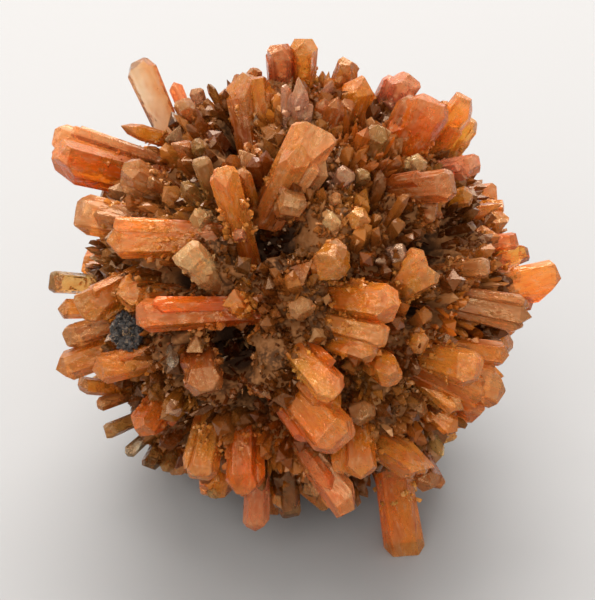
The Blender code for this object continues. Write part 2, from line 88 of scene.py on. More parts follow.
FACE_ROWS = (
    # Upper left
    ("left_blade_top", (-34.2, 21.4), (-21.5, 17.6), 40.0, 4.6, 3.4, "blunt"),
    ("left_blade", (-34.0, 18.4), (-21.0, 15.2), 39.0, 6.6, 4.4, "left"),
    ("top_left_clear", (-22.4, 31.8), (-18.8, 23.7), 38.9, 4.5, 2.6, "blunt"),
    ("top_left_pink", (-17.3, 29.0), (-15.5, 24.6), 33.7, 2.2, 1.8, "gable"),
    ("left_dart", (-24.8, 22.8), (-16.4, 20.3), 33.8, 2.7, 2.4, "spire", 1.5),
    ("tan_wedge", (-15.9, 26.4), (-14.0, 21.2), 32.0, 3.0, 2.4, "right"),
    ("clear_tip", (-14.3, 27.8), (-13.2, 24.6), 31.5, 2.3, 1.9, "blunt"),
    ("rim_spike", (-12.6, 28.8), (-10.6, 25.2), 31.6, 1.7, 1.5, "spire"),
    ("rim_tip_west", (-8.5, 30.0), (-7.6, 25.5), 31.3, 1.8, 1.6, "chisel"),
    ("rim_tip_east", (-6.1, 30.9), (-5.8, 26.0), 31.6, 2.2, 1.8, "gable"),
    ("olive_wedge", (-14.4, 20.8), (-12.4, 17.4), 30.8, 2.6, 2.2, "chisel"),
    ("twin_green", (-13.7, 18.2), (-11.6, 12.4), 32.2, 2.9, 2.4, "blunt"),
    ("twin_diamond", (-10.6, 16.9), (-7.9, 7.6), 34.4, 4.4, 3.6, "facet", 0.0, RIDGE_SECTION),
    ("striated_tan", (-7.8, 16.6), (-6.4, 12.2), 31.2, 2.5, 2.2, "right"),
    ("pale_tips", (-16.2, 14.8), (-13.6, 12.2), 29.8, 2.8, 2.2, "chisel"),
    # Upper middle
    ("top_pink", (-2.3, 33.8), (-2.2, 27.0), 34.6, 4.0, 3.0, "right"),
    ("top_gold", (0.9, 34.7), (0.7, 27.5), 35.4, 3.9, 3.2, "gable"),
    ("top_amber", (7.4, 31.6), (4.9, 26.0), 33.0, 3.5, 2.8, "right"),
    ("top_spike", (4.9, 29.3), (3.0, 24.6), 32.0, 1.8, 1.6, "spire"),
    ("top_rust", (5.6, 26.8), (3.8, 21.6), 31.4, 3.8, 3.0, "chisel"),
    ("top_spire", (0.1, 29.8), (-0.2, 21.0), 34.2, 3.8, 3.2, "spire", 0.0, RIDGE_SECTION),
    ("peach_bulk", (2.9, 22.6), (-2.0, 13.6), 34.4, 6.4, 5.2, "wedge"),
    ("brown_block", (-0.7, 12.2), (-0.9, 11.2), 30.6, 4.6, 4.0, "blunt"),
    ("lilac_lump", (7.0, 16.4), (5.8, 14.6), 29.4, 2.9, 2.6, "facet"),
    ("olive_block", (9.4, 16.2), (8.2, 14.4), 29.6, 2.4, 2.2, "blunt"),
    ("pink_ridge", (5.6, 13.2), (4.6, 11.0), 29.2, 2.4, 2.0, "chisel"),
    ("cream_flake", (5.0, 9.4), (4.4, 8.8), 29.8, 3.0, 2.2, "facet"),
    ("tan_lobe", (9.0, 10.0), (7.6, 9.4), 30.2, 3.4, 2.8, "gable"),
    # Upper right
    ("pink_blade", (15.5, 29.8), (11.8, 24.0), 34.0, 4.6, 2.6, "left"),
    ("grey_tip", (9.2, 27.9), (8.2, 24.0), 30.4, 2.0, 1.8, "gable"),
    ("north_east_brown", (16.4, 26.7), (12.6, 19.6), 33.4, 4.2, 3.4, "blunt"),
    ("north_east_big", (19.2, 26.4), (14.4, 18.4), 35.0, 7.0, 4.8, "blunt"),
    ("north_east_point", (24.2, 26.5), (17.4, 18.4), 36.4, 4.6, 3.6, "right"),
    ("north_east_pale", (24.4, 24.0), (19.8, 17.6), 34.4, 3.8, 2.8, "blunt", -3.0),
    ("olive_face", (11.8, 22.6), (9.6, 18.0), 31.2, 3.8, 3.2, "facet"),
    ("white_flake", (17.3, 18.0), (15.6, 16.2), 30.2, 3.0, 2.0, "facet"),
    ("east_striated", (25.3, 17.3), (18.8, 16.4), 32.6, 3.6, 2.8, "right"),
    ("east_lump", (21.8, 14.6), (12.6, 13.6), 34.2, 4.6, 4.0, "blunt"),
    ("east_amber", (24.6, 13.2), (19.6, 11.8), 30.6, 3.2, 2.8, "gable"),
    ("east_dart", (29.0, 12.0), (22.6, 9.8), 32.0, 2.7, 2.4, "spire"),
    ("east_knob", (30.8, 6.8), (23.6, 6.0), 32.0, 2.8, 2.4, "blunt"),
    ("east_clear", (32.3, 5.6), (25.0, 2.4), 33.0, 3.2, 2.6, "left", -2.5),
    ("far_east_blade", (36.8, 1.6), (24.5, -0.6), 37.0, 6.4, 3.4, "right", -2.0),
    ("east_prism", (32.6, -4.0), (20.6, -1.6), 34.6, 4.1, 3.6, "chisel", 3.0),
    ("east_round", (26.8, 3.0), (21.0, 2.4), 31.4, 3.4, 3.0, "blunt"),
    ("lilac_tan", (14.8, 5.0), (13.2, 4.4), 29.6, 3.0, 2.6, "facet"),
    # Middle
    ("amber_heart", (5.2, 3.8), (4.2, 3.4), 32.6, 5.6, 4.8, "facet"),
    ("middle_lobe", (14.0, -2.4), (6.2, -1.4), 34.6, 5.8, 4.8, "gable"),
    ("middle_low_lobe", (12.4, -6.8), (4.2, -4.8), 33.8, 3.9, 3.6, "blunt"),
    ("middle_third_lobe", (10.9, -9.2), (4.6, -7.4), 32.6, 3.5, 3.0, "gable"),
    ("middle_tan", (0.6, -3.0), (0.2, -2.4), 29.6, 3.6, 3.0, "blunt"),
    ("gold_prism", (5.4, -15.0), (-0.6, -8.2), 35.4, 5.0, 4.2, "facet"),
    ("amber_knob", (-7.8, 2.0), (-7.2, 1.8), 27.8, 3.2, 2.8, "gable"),
    ("deep_knob", (-4.8, -11.1), (-4.4, -10.2), 27.4, 3.4, 3.0, "blunt"),
    ("cream_block", (-16.0, 5.2), (-12.2, 1.8), 33.0, 4.6, 4.2, "blunt"),
    ("pink_stub", (-8.5, 7.8), (-7.6, 7.0), 28.6, 2.2, 2.0, "chisel"),
    ("cream_sparkle", (-14.4, 10.2), (-13.0, 9.2), 29.2, 3.0, 2.4, "chisel"),
    # Left
    ("left_round", (-31.0, 10.6), (-22.4, 8.8), 33.2, 6.0, 4.4, "blunt"),
    ("left_prism", (-26.8, 6.6), (-14.4, 6.6), 33.6, 5.7, 4.8, "gable"),
    ("left_clear", (-34.5, 1.0), (-25.5, 0.4), 35.0, 3.7, 2.8, "blunt"),
    ("left_stub", (-33.6, -2.8), (-25.0, -2.8), 34.0, 2.8, 2.6, "gable"),
    ("left_thorn", (-29.4, 4.4), (-24.5, 3.4), 30.2, 1.7, 1.5, "spire"),
    ("red_block", (-22.6, -3.9), (-10.6, -3.3), 32.6, 5.1, 4.6, "blunt"),
    ("grey_patch", (-24.0, -6.1), (-22.6, -5.8), 29.6, 4.4, 3.6, "blunt"),
    ("left_window", (-32.7, -7.0), (-23.6, -4.4), 34.0, 3.8, 3.4, "blunt"),
    ("left_amber", (-33.8, -11.3), (-22.6, -7.4), 36.0, 4.6, 3.8, "gable"),
    ("left_red", (-28.7, -11.4), (-18.6, -9.2), 33.0, 4.7, 4.0, "gable"),
    ("low_amber", (-30.6, -13.4), (-23.2, -14.2), 33.6, 2.8, 2.4, "left"),
    ("low_tan", (-28.0, -16.3), (-23.0, -14.6), 32.6, 2.0, 1.8, "gable"),
    ("low_olive", (-26.7, -20.0), (-21.6, -17.8), 33.6, 2.6, 2.2, "blunt"),
    ("tiny_clear", (-23.8, -23.1), (-20.6, -20.2), 33.4, 1.9, 1.6, "gable"),
    ("olive_clear", (-20.8, -24.8), (-18.8, -20.6), 32.6, 2.8, 2.2, "blunt"),
    ("olive_clear_east", (-18.4, -25.4), (-17.0, -21.4), 31.6, 2.4, 2.0, "gable"),
    # Lower
    ("brown_facet", (-12.7, -14.2), (-13.4, -9.6), 32.4, 5.6, 4.8, "facet"),
    ("glass_shard", (-17.4, -10.9), (-17.6, -8.0), 30.6, 1.9, 1.5, "chisel"),
    ("lilac_facet", (-17.5, -17.4), (-16.6, -14.6), 30.6, 2.8, 2.4, "facet"),
    ("low_round", (-13.6, -26.6), (-12.2, -19.6), 32.6, 4.8, 4.2, "blunt"),
    ("low_orange", (-7.8, -28.8), (-7.6, -20.4), 33.2, 5.3, 4.4, "facet"),
    ("low_yellow", (-11.8, -29.1), (-11.2, -24.6), 32.0, 2.0, 1.8, "gable"),
    ("low_pink", (-5.9, -33.9), (-5.6, -23.6), 34.6, 3.9, 2.8, "gable"),
    ("low_glass", (-1.0, -32.2), (-1.4, -24.6), 33.0, 3.2, 2.6, "blunt", -4.0),
    ("orange_bulk", (6.0, -22.0), (-1.4, -13.4), 34.8, 7.0, 5.4, "blunt"),
    ("long_tan", (7.9, -31.0), (0.6, -21.6), 34.6, 5.3, 4.4, "left"),
    ("lilac_diamond", (8.9, -26.6), (8.2, -17.6), 34.4, 5.4, 4.4, "gable"),
    ("tan_block", (9.4, -18.0), (8.4, -16.2), 30.8, 4.2, 3.6, "facet"),
    ("south_east_rust", (18.7, -27.8), (15.6, -21.0), 34.2, 4.0, 3.4, "gable"),
    ("south_east_yellow", (20.3, -23.5), (17.8, -18.6), 32.0, 2.0, 1.6, "spire"),
    # Lower right
    ("south_east_spike", (28.8, -7.4), (23.8, -6.2), 30.4, 1.8, 1.6, "spire"),
    ("south_east_upper", (29.6, -9.3), (19.2, -8.0), 33.0, 3.8, 3.2, "gable"),
    ("south_east_lower", (28.8, -14.4), (18.4, -10.2), 33.8, 6.2, 4.4, "left"),
    ("south_east_mass", (25.4, -11.6), (18.0, -9.4), 33.8, 5.6, 5.0, "blunt"),
    ("orange_knob", (17.4, -7.8), (15.8, -7.0), 30.2, 3.2, 2.8, "blunt"),
    ("sparkle_east", (24.2, -9.4), (21.0, -8.2), 30.6, 2.6, 2.2, "chisel"),
    ("sparkle_low", (17.6, -17.6), (15.8, -15.2), 29.6, 3.0, 2.4, "chisel"),
    ("south_east_tan", (23.4, -17.0), (18.0, -13.0), 31.4, 3.8, 3.0, "chisel"),
    ("south_east_rim", (22.4, -20.0), (17.4, -15.6), 31.6, 3.4, 2.8, "gable"),
)
FACE_CRYSTALS = [Crystal(*row) for row in FACE_ROWS]

# The four crystals that the ball rests on: where each meets the floor, from the point under the ball's
# middle, its root from that middle, and its width and thickness. The first is the long blade that points
# down and forward on the face.
Foot = namedtuple("Foot", "name floor_point root width thick")
FEET = (
    Foot("bottom_blade", (15.2, -20.8), (12.6, -16.6, -13.2), 6.7, 4.0),
    Foot("front_foot", (-3.6, -13.2), (-3.0, -12.6, -20.0), 3.0, 2.6),
    Foot("back_left_foot", (-13.5, 11.5), (-9.5, 8.5, -20.0), 4.6, 4.0),
    Foot("back_right_foot", (13.0, 13.5), (9.0, 9.5, -20.0), 4.4, 4.2),
)
FOOT_OVERRUN = 3.0  # how far a foot would pass the floor if it weren't cut there

# The crystals of the sides, the back and the underside, and the small ones between the large ones everywhere
Growth = namedtuple("Growth", "tries reach width spacing ends section")
LARGE = Growth(
    900, (31.0, 35.8), (4.8, 7.4), 1.20, ("gable", "chisel", "blunt", "left", "right", "wedge"), FLAT_SECTION
)
SMALL = Growth(2600, (27.6, 30.2), (3.4, 5.4), 1.21, ("roof",), RHOMB_SECTION)
BEND = 0.10  # how much they lean away from straight outwards
GROWN_THICKNESS = (0.70, 0.95)  # as a share of the width
LIMITS = (33.5, 33.5, 32.5)  # how far they reach across, along and up from the ball's middle
GOLDEN_ANGLE = math.pi * (3.0 - math.sqrt(5.0))

# Pits between the crystals of the face, as (across, up, radius) on the face, kept free of small crystals
PITS = (
    (-4.5, 6.2, 3.6), (-4.9, 12.2, 1.6), (3.2, 14.6, 1.6), (-9.8, -7.8, 4.4), (-5.6, -14.1, 2.0),
    (-13.0, -18.0, 2.0), (15.8, -2.6, 2.2), (15.7, -12.5, 2.2), (17.6, 5.0, 2.2), (-8.3, 19.2, 2.2),
    (-19.6, 16.6, 2.4), (-15.8, 0.7, 1.5),
)

ELEVATION = math.radians(FACE_ELEVATION_DEG)
TO_VIEWER = Vector((0.0, -math.cos(ELEVATION), math.sin(ELEVATION)))
UP_FACE = Vector((0.0, math.sin(ELEVATION), math.cos(ELEVATION)))
ACROSS_FACE = Vector((1.0, 0.0, 0.0))


def from_face(across, up, depth):
    """The place, from the ball's middle, that is seen at (across, up), at a depth towards the viewer."""
    nearer = 1.0 - depth / VIEWPOINT
    return ACROSS_FACE * (across * nearer) + UP_FACE * (up * nearer) + TO_VIEWER * depth


def on_sphere(across, up, radius):
    """The near point of a sphere about that middle that is seen there, or the place on its rim."""
    depth = 0.0
    for _ in range(4):
        nearer = 1.0 - depth / VIEWPOINT
        depth = math.sqrt(max(radius**2 - (across**2 + up**2) * nearer**2, 0.0))
    return from_face(across, up, depth)


def axes_round(direction):
    """The crystal's left hand and its near side, as the face is seen."""
    left = TO_VIEWER.cross(direction)
    if left.length < 0.05:
        left = ACROSS_FACE - direction * ACROSS_FACE.dot(direction)
    left.normalize()
    return left, direction.cross(left).normalized()


def hull_of(points):
    """The convex solid that has these points as its corners."""
    solid = bmesh.new()
    for point in points:
        solid.verts.new(point)
    bmesh.ops.remove_doubles(solid, verts=solid.verts[:], dist=CORNER_MERGE)
    made = bmesh.ops.convex_hull(solid, input=solid.verts[:])
    inner = [part for part in made["geom_interior"] if isinstance(part, bmesh.types.BMVert)]
    bmesh.ops.delete(solid, geom=inner, context="VERTS")
    return solid


def cut(solid, point, normal):
    """The part of a convex solid behind a plane, closed by one facet."""
    parts = solid.verts[:] + solid.edges[:] + solid.faces[:]
    bmesh.ops.bisect_plane(
        solid, geom=parts, dist=CORNER_MERGE / 2, plane_co=point, plane_no=normal, clear_outer=True
    )
    points = [vert.co.copy() for vert in solid.verts]
    solid.free()
    return hull_of(points)


def clear_of_floor(tip):
    """The tip, drawn back towards the ball's middle if it would come too near the floor."""
    lowest = FLOOR_GAP - BALL_CENTRE.z
    return tip * (lowest / tip.z) if tip.z < lowest else tip


def spread_directions(count, rng):
    """Directions spread evenly over a sphere, in no order."""
    places = list(range(count))
    rng.shuffle(places)
    for i in places:
        z = 1.0 - 2.0 * (i + 0.5) / count
        angle = GOLDEN_ANGLE * i
        ring = math.sqrt(1.0 - z * z)
        yield Vector((ring * math.cos(angle), ring * math.sin(angle), z))


def pit_nearness(direction, spread=1.0):
    """How near a direction is to a pit of the face: 1 at its middle, 0 at its border, less outside."""
    if direction.dot(TO_VIEWER) < 0.0:
        return -1.0
    across, up = direction.dot(ACROSS_FACE) * ROOT_RADIUS, direction.dot(UP_FACE) * ROOT_RADIUS
    return max(1.0 - math.hypot(across - x, up - y) / (radius * spread) for x, y, radius in PITS)


# Colours of the crystals, as sRGB
TONES = {
    "deep_orange": (0.94, 0.48, 0.11),
    "red_orange": (0.91, 0.44, 0.12),
    "orange": (0.96, 0.58, 0.17),
    "apricot": (0.96, 0.62, 0.24),
    "amber": (0.84, 0.51, 0.14),
    "gold": (0.99, 0.72, 0.29),
    "peach": (0.92, 0.67, 0.43),
    "cream": (0.96, 0.79, 0.54),
    "tan": (0.79, 0.51, 0.26),
    "rust": (0.76, 0.41, 0.15),
    "brown": (0.49, 0.28, 0.13),
    "olive": (0.66, 0.46, 0.21),
    "pink": (0.94, 0.61, 0.46),
    "rose": (0.91, 0.53, 0.33),
    "lilac": (0.83, 0.64, 0.53),
    "clear": (0.99, 0.97, 0.88),
    "lemon": (0.98, 0.88, 0.58),
    "grey": (0.34, 0.34, 0.34),
}
TONE_NAMES = {
    "deep_orange": "left_blade north_east_big low_orange orange_bulk red_block",
    "red_orange": "east_knob",
    "orange": "left_red far_east_blade middle_lobe middle_third_lobe left_prism lilac_diamond orange_knob "
    "south_east_upper south_east_rim left_blade_top",
    "apricot": "twin_diamond peach_bulk tan_lobe north_east_point middle_low_lobe left_round low_round "
    "south_east_lower south_east_tan south_east_mass",
    "amber": "left_dart striated_tan top_amber east_amber east_dart amber_heart amber_knob left_stub "
    "left_amber low_amber",
    "gold": "top_gold north_east_pale gold_prism bottom_blade",
    "peach": "pink_ridge",
    "cream": "cream_block cream_flake white_flake cream_sparkle",
    "tan": "tan_wedge rim_tip_west rim_tip_east brown_block east_prism east_round middle_tan left_window "
    "low_tan long_tan tan_block sparkle_east sparkle_low",
    "rust": "top_rust north_east_brown brown_facet front_foot east_lump south_east_rust",
    "brown": "deep_knob south_east_spike",
    "olive": "rim_spike olive_wedge twin_green pale_tips olive_block grey_tip olive_face left_thorn "
    "low_olive olive_clear olive_clear_east low_glass",
    "pink": "pink_blade east_striated pink_stub",
    "rose": "top_left_pink top_pink low_pink",
    "lilac": "clear_tip top_spike top_spire lilac_lump lilac_tan lilac_facet",
    "clear": "top_left_clear tiny_clear glass_shard",
    "lemon": "east_clear left_clear low_yellow south_east_yellow",
    "grey": "grey_patch",
}
HERO_TONE = {name: tone for tone, names in TONE_NAMES.items() for name in names.split()}
# The colours of the crystals without a name, and how common each is
LARGE_TONES = (
    ("orange", 20), ("apricot", 20), ("amber", 16), ("tan", 15), ("red_orange", 4), ("gold", 6),
    ("olive", 2), ("deep_orange", 8), ("rust", 2), ("amber", 2),
)
SMALL_TONES = (
    ("brown", 26), ("rust", 24), ("tan", 18), ("amber", 16), ("olive", 2), ("orange", 8), ("lilac", 3),
    ("peach", 3),
)
# Crystals of two colours: the one on the crystal's left hand, then the one on its right
TWO_TONES = {
    "top_left_clear": ("clear", "apricot"),
    "bottom_blade": ("apricot", "deep_orange"),
    "far_east_blade": ("apricot", "deep_orange"),
    "left_clear": ("apricot", "lemon"),
    "left_blade": ("deep_orange", "orange"),
    "left_blade_top": ("deep_orange", "peach"),
    "top_gold": ("amber", "gold"),
    "orange_bulk": ("orange", "deep_orange"),
    "gold_prism": ("deep_orange", "gold"),
    "long_tan": ("peach", "deep_orange"),
    "east_clear": ("gold", "orange"),
    "south_east_lower": ("peach", "orange"),
    "peach_bulk": ("apricot", "peach"),
    "left_round": ("amber", "peach"),
}
SPARKLY_NAME = "grey_patch"  # small crystals cover it whole
GLASSY_NAMES = frozenset(
    "top_left_clear left_clear east_clear low_glass tiny_clear olive_clear glass_shard low_yellow".split()
)

# Detail on the crystals
EDGE_ROUNDING = 0.10
UNEVEN = (0.84, 1.04)  # a side's distance from the axis, as a share of the plain section's
TONE_SPREAD = 0.06  # how much a crystal's colour differs from its tone
RIM_REACH = 31.2  # how far out crystals other than the face's own are seen

# Narrower crystals grown along a wide one. Their shares are of the host's width where not said otherwise.
COMPANION_HOST = 3.0  # width from which a crystal has them
COMPANION_NUMBER = (1, 3)
COMPANION_SHARE = (0.42, 0.74)
COMPANION_THICKNESS = (0.6, 0.9)  # as a share of its own width
COMPANION_SUNK = (0.18, 0.34)  # how deep it is in its host, as a share of its own width
COMPANION_STEP = (0.6, 4.2)  # how far it stops short of its host's tip
COMPANION_MOST_STEP = 0.6  # the most of it, as a share of the host's visible length
COMPANION_SPLAY = 0.05  # how far it leans away from its host, as a slope
COMPANION_GATHER = 0.8  # its offset at the root, as a share of that at the tip
COMPANION_LOWEST = 0.4  # one whose tip is nearer to the floor is left out
COMPANION_ENDS = ("gable", "chisel", "left", "right", "blunt")
COMPANION_JITTER_DEG = (20, 8)
COMPANION_TONE_SPREAD = 0.14

# The rough body under the druse
BODY_RADIUS = 25.6
BODY_ROUGHNESS = 1.7
BODY_LUMPS = (3.1, 14.0)  # coarse and fine ones to the radius
BODY_SUBDIVISIONS = 7
PIT_FLOOR = 19.4
PIT_SPREAD = 1.45  # how much wider the pits are than the solid's
PIT_RAGGED = 0.6  # how uneven their borders are, as a share of their radius
PIT_LUMPS = 7.0  # lumps of such a border to the radius
SUGAR_LIFT = 1.9  # how far patches of the smallest crystals heap up over the rest
SUGAR_PATCHES = 3.4  # such patches to the radius

# The druse: small crystals all over the body. Each kind has its name, number, widths, lengths and lean, then
# whether it stands under the heaps of the smallest crystals, and its seed.
DRUSE = (
    ("druse_blades", 3600, (0.8, 3.2), (2.4, 5.0), 0.16, True, SEED + 3),
    ("druse_fine", 12000, (0.35, 1.3), (0.7, 1.8), 0.45, False, SEED + 4),
    ("druse_grains", 12000, (0.25, 0.8), (0.8, 2.2), 0.60, False, SEED + 6),
)
DRUSE_SUNK = 0.45
DRUSE_UNEVEN = 0.09
MOSTLY_SMALL = 1.9  # how rare the wide ones are
SHEAVES = 5.0  # sheaves of leaning crystals to the radius
SHEAF_LEAN = 0.9
PIT_SHARE = 0.55  # crystals in a pit, as a share of those elsewhere
DRUSE_TONES = ("brown", "brown", "rust", "tan", "tan", "olive", "amber", "deep_orange")
DRUSE_PATCHES = 4.5  # patches of one tone to the radius
DRUSE_CONTRAST = 4.5  # how much that tone prevails there
DRUSE_DARKER = 0.83  # than the large crystals
PALER_EAST = 0.16  # the druse is paler on the right of the face
PALE_SHARE = 0.03  # crystals that catch the eye among the rest
DRUSE_LIGHTNESS = (0.86, 1.16)
# Painted shade: the druse is darker in the pits and in dark patches between the crystals
PIT_SHADE = 0.79  # how much darker the druse is in the pits
PAINTED_PATCH_SHADE = 0.64  # and in the patches of painted shade, at most
PAINTED_SHADE_PATCHES = 3.6
PAINTED_SHADE_HUE = np.array([1.0, 1.3, 1.65])  # how much more of its green and blue the painted shade takes

# The crust: small crystals on the lower sides of the large ones
CRUST_COUNT = 12000
CRUST_WIDTHS = (0.25, 1.25)
CRUST_LENGTHS = (0.45, 1.2)
CRUST_SUNK = 0.25
CRUST_REACH = 0.55  # how far up it goes, as a share of the visible length
CRUST_NEAR_ROOT = 2.6  # how much of it is near the root
CRUST_OUT = 0.86  # where it stands, as a share of the host's half width
CRUST_TAN = 0.45  # how far its colour goes from its host's to tan
CRUST_LIGHTNESS = (0.75, 1.1)
SPARKLY_WEIGHT = 6.0  # how many times its width the sparkly patch counts for
SPARKLY_SPREAD = 0.4  # how evenly the crust covers it, up to its end

# Clear crystal: nearly clean, and full of orange
CREEDITE_IOR = 1.47
CRYSTAL_GLOSS = (1.0, 0.68, 0.40)
DRUSE_GLOSS = (1.0, 0.66, 0.40)
CLEAR = dict(
    transmission=0.90, density=25.0, absorbed=(0.99, 0.86, 0.55), pale_share=0.20, roughness=(0.03, 0.14)
)
ORANGE = dict(
    transmission=0.70, density=165.0, absorbed=(0.985, 0.73, 0.29), pale_share=0.40, roughness=(0.10, 0.40)
)

# The table, the lights and the camera, in metres. A light has its name, place, size, power and colour.
TABLE_SIZE = 1.6
TABLE_COLOUR = (0.229, 0.225, 0.224)
TABLE_ROUGHNESS = 0.6
LIGHTS = (
    ("window", (0.0, 0.42, 0.46), (0.64, 0.44), 7.5, (1.0, 0.985, 0.965)),
    ("side_window", (-0.46, 0.10, 0.26), (0.30, 0.24), 0.8, (1.0, 0.97, 0.92)),
    ("fill", (-0.10, -0.42, 0.46), (0.40, 0.30), 1.6, (1.0, 0.985, 0.96)),
    ("glint", (-0.16, -0.02, 0.62), (0.12, 0.12), 0.4, (1.0, 0.97, 0.93)),
)
SKY_COLOUR = (1.0, 0.975, 0.94)
SKY_STRENGTH = 1.35
CAMERA_DISTANCE = 0.45
FRAME_HEIGHT = 0.084  # what the 600 pixel high picture spans at the ball's middle
BELOW_MIDDLE = 0.00154  # the picture's middle is this far below the ball's
SENSOR = 36.0


def linear(tone):
    """The linear values of a tone."""
    return tuple(((c + 0.055) / 1.055) ** 2.4 if c > 0.04045 else c / 12.92 for c in TONES[tone])


Solid = namedtuple("Solid", "name root tip axis left near width thick base tone section planes")


def turned_axes(axis, roll):
    """A crystal's left hand and its near side, turned round its axis."""
    left, near = axes_round(axis)
    turn = Matrix.Rotation(roll, 3, axis)
    return turn @ left, turn @ near


def end_planes(tip, axes, width, facets, jitter_deg, rng):
    """The planes of a crystal's end as (point, normal), each turned and tilted a little."""
    left, near, axis = axes
    most_turn, most_tilt = jitter_deg
    planes = []
    for azimuth, tilt, overshoot in facets:
        azimuth = math.radians(azimuth + rng.uniform(-most_turn, most_turn))
        tilt = math.radians(tilt + rng.uniform(-most_tilt, most_tilt))
        sideways = left * math.cos(azimuth) + near * math.sin(azimuth)
        normal = axis * math.cos(tilt) + sideways * math.sin(tilt)
        planes.append((tip + axis * (overshoot * width), normal))
    return planes


def make_solid(name, root, tip, width, thick, facets, section, roll, base, tone, rng):
    """A crystal of the ball: where it is, and the planes that end it."""
    axis = (tip - root).normalized()
    left, near = turned_axes(axis, roll)
    planes = end_planes(tip, (left, near, axis), width, facets, JITTER_DEG, rng)
    return Solid(name, root, tip, axis, left, near, width, thick, base, tone, section, planes)


def face_solids(rng):
    """The crystals of the face, each at its own place."""
    for item in FACE_CRYSTALS:
        tip = clear_of_floor(on_sphere(*item.tip, item.reach) + TO_VIEWER * item.lean)
        visible_root = on_sphere(*item.root, ROOT_RADIUS)
        root = visible_root - (tip - visible_root).normalized() * BURIED
        section = RHOMB_SECTION if item.width < FINE_WIDTH else item.section
        yield make_solid(
            item.name, root, tip, item.width, item.thick, ENDS[item.end], section, 0.0,
            visible_root.normalized(), HERO_TONE[item.name], rng,
        )


def foot_solids(rng):
    """The crystals that the ball rests on."""
    for foot in FEET:
        root = Vector(foot.root)
        floor_point = Vector((*foot.floor_point, -BALL_CENTRE.z))
        axis = (floor_point - root).normalized()
        yield make_solid(
            foot.name, root - axis * BURIED, floor_point + axis * FOOT_OVERRUN, foot.width, foot.thick,
            (), FLAT_SECTION, 0.0, root.normalized(), HERO_TONE.get(foot.name, "amber"), rng,
        )


def is_taken(direction, width, spacing, standing):
    """Whether a crystal that is already there stands too near this place."""
    return any(
        direction.angle(other.base) < spacing * (width + other.width) / 2 / CORE_RADIUS for other in standing
    )


def within_rim(tip):
    """The tip, drawn back where it would stand out beyond the rim of the face."""
    nearer = 1.0 - tip.dot(TO_VIEWER) / VIEWPOINT
    seen = math.hypot(tip.dot(ACROSS_FACE), tip.dot(UP_FACE)) / nearer
    return tip * (RIM_REACH / seen) if seen > RIM_REACH else tip


def grown(growth, standing, rng, tones, palette):
    """Crystals that fill the room that the ones already there leave, in the palette's tones."""
    made = []
    for direction in spread_directions(growth.tries, rng):
        width = rng.uniform(*growth.width)
        if pit_nearness(direction) > 0.0 or is_taken(direction, width, growth.spacing, standing + made):
            continue
        bend = Vector([rng.gauss(0, BEND) for _ in range(3)])
        tip = (direction + bend).normalized() * rng.uniform(*growth.reach)
        overrun = max(abs(tip.x) / LIMITS[0], abs(tip.y) / LIMITS[1], tip.z / LIMITS[2], 1.0)
        tip = within_rim(clear_of_floor(tip / overrun))
        root = direction * (CORE_RADIUS - BURIED)
        facets = ENDS[rng.choice(growth.ends)]
        thick = width * rng.uniform(*GROWN_THICKNESS)
        roll = rng.uniform(0.0, math.pi)
        tone = tones.choices([name for name, _ in palette], [share for _, share in palette])[0]
        item = ("crystal", root, tip, width, thick, facets, growth.section, roll, direction, tone)
        made.append(make_solid(*item, rng))
    return made


class Pile:
    """Crystals gathered into one mesh, with what its material reads at each point."""

    def __init__(self):
        self.points, self.faces, self.grain, self.along, self.tone, self.slots = ([] for _ in range(6))

    def add(self, solid, axes, start, length, width, tone, slot):
        """Adds a bmesh solid of two tones. Its grain runs along the third axis, from start over a length."""
        first = len(self.points)
        left, near, axis = axes
        offset = Vector((first * 0.618 % 40.0, first * 0.37 % 31.0, 0.0))
        left_tone, right_tone = tone
        for vert in solid.verts:
            vert.index = len(self.points)
            away = vert.co - start
            local = Vector((away.dot(left), away.dot(near), away.dot(axis)))
            self.points.append((vert.co + BALL_CENTRE) * MM)
            self.grain.append(local + offset)
            self.along.append(min(max(local.z / length, 0.0), 1.0))
            side = min(max(0.5 + local.x / width, 0.0), 1.0)
            self.tone.append((*(r + (l - r) * side for l, r in zip(left_tone, right_tone)), 1.0))
        for face in solid.faces:
            self.faces.append([vert.index for vert in face.verts])
            self.slots.append(slot)
        solid.free()

    def build(self, name, materials):
        mesh = bpy.data.meshes.new(name)
        mesh.from_pydata(self.points, [], self.faces)
        mesh.polygons.foreach_set("material_index", self.slots)
        write_attributes(mesh, np.array(self.grain), np.array(self.along), np.array(self.tone))
        for material in materials:
            mesh.materials.append(material)
        placed(name, mesh)


def write_attributes(mesh, grain, along, tone):
    """What the crystal materials read: the place in the crystal, the share of its length, and its colour."""
    mesh.attributes.new("grain", "FLOAT_VECTOR", "POINT").data.foreach_set("vector", grain.ravel())
    mesh.attributes.new("along", "FLOAT", "POINT").data.foreach_set("value", along.ravel())
    mesh.attributes.new("tone", "FLOAT_COLOR", "POINT").data.foreach_set("color", tone.ravel())


def linked(name, data):
    """A new object of the scene."""
    obj = bpy.data.objects.new(name, data)
    bpy.context.scene.collection.objects.link(obj)
    return obj


def placed(name, mesh):
    """A piece of the ball, in place of the frame's plain solid."""
    piece = linked(name, mesh)
    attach(piece, "root")
    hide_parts("creedite_cluster")
    return piece


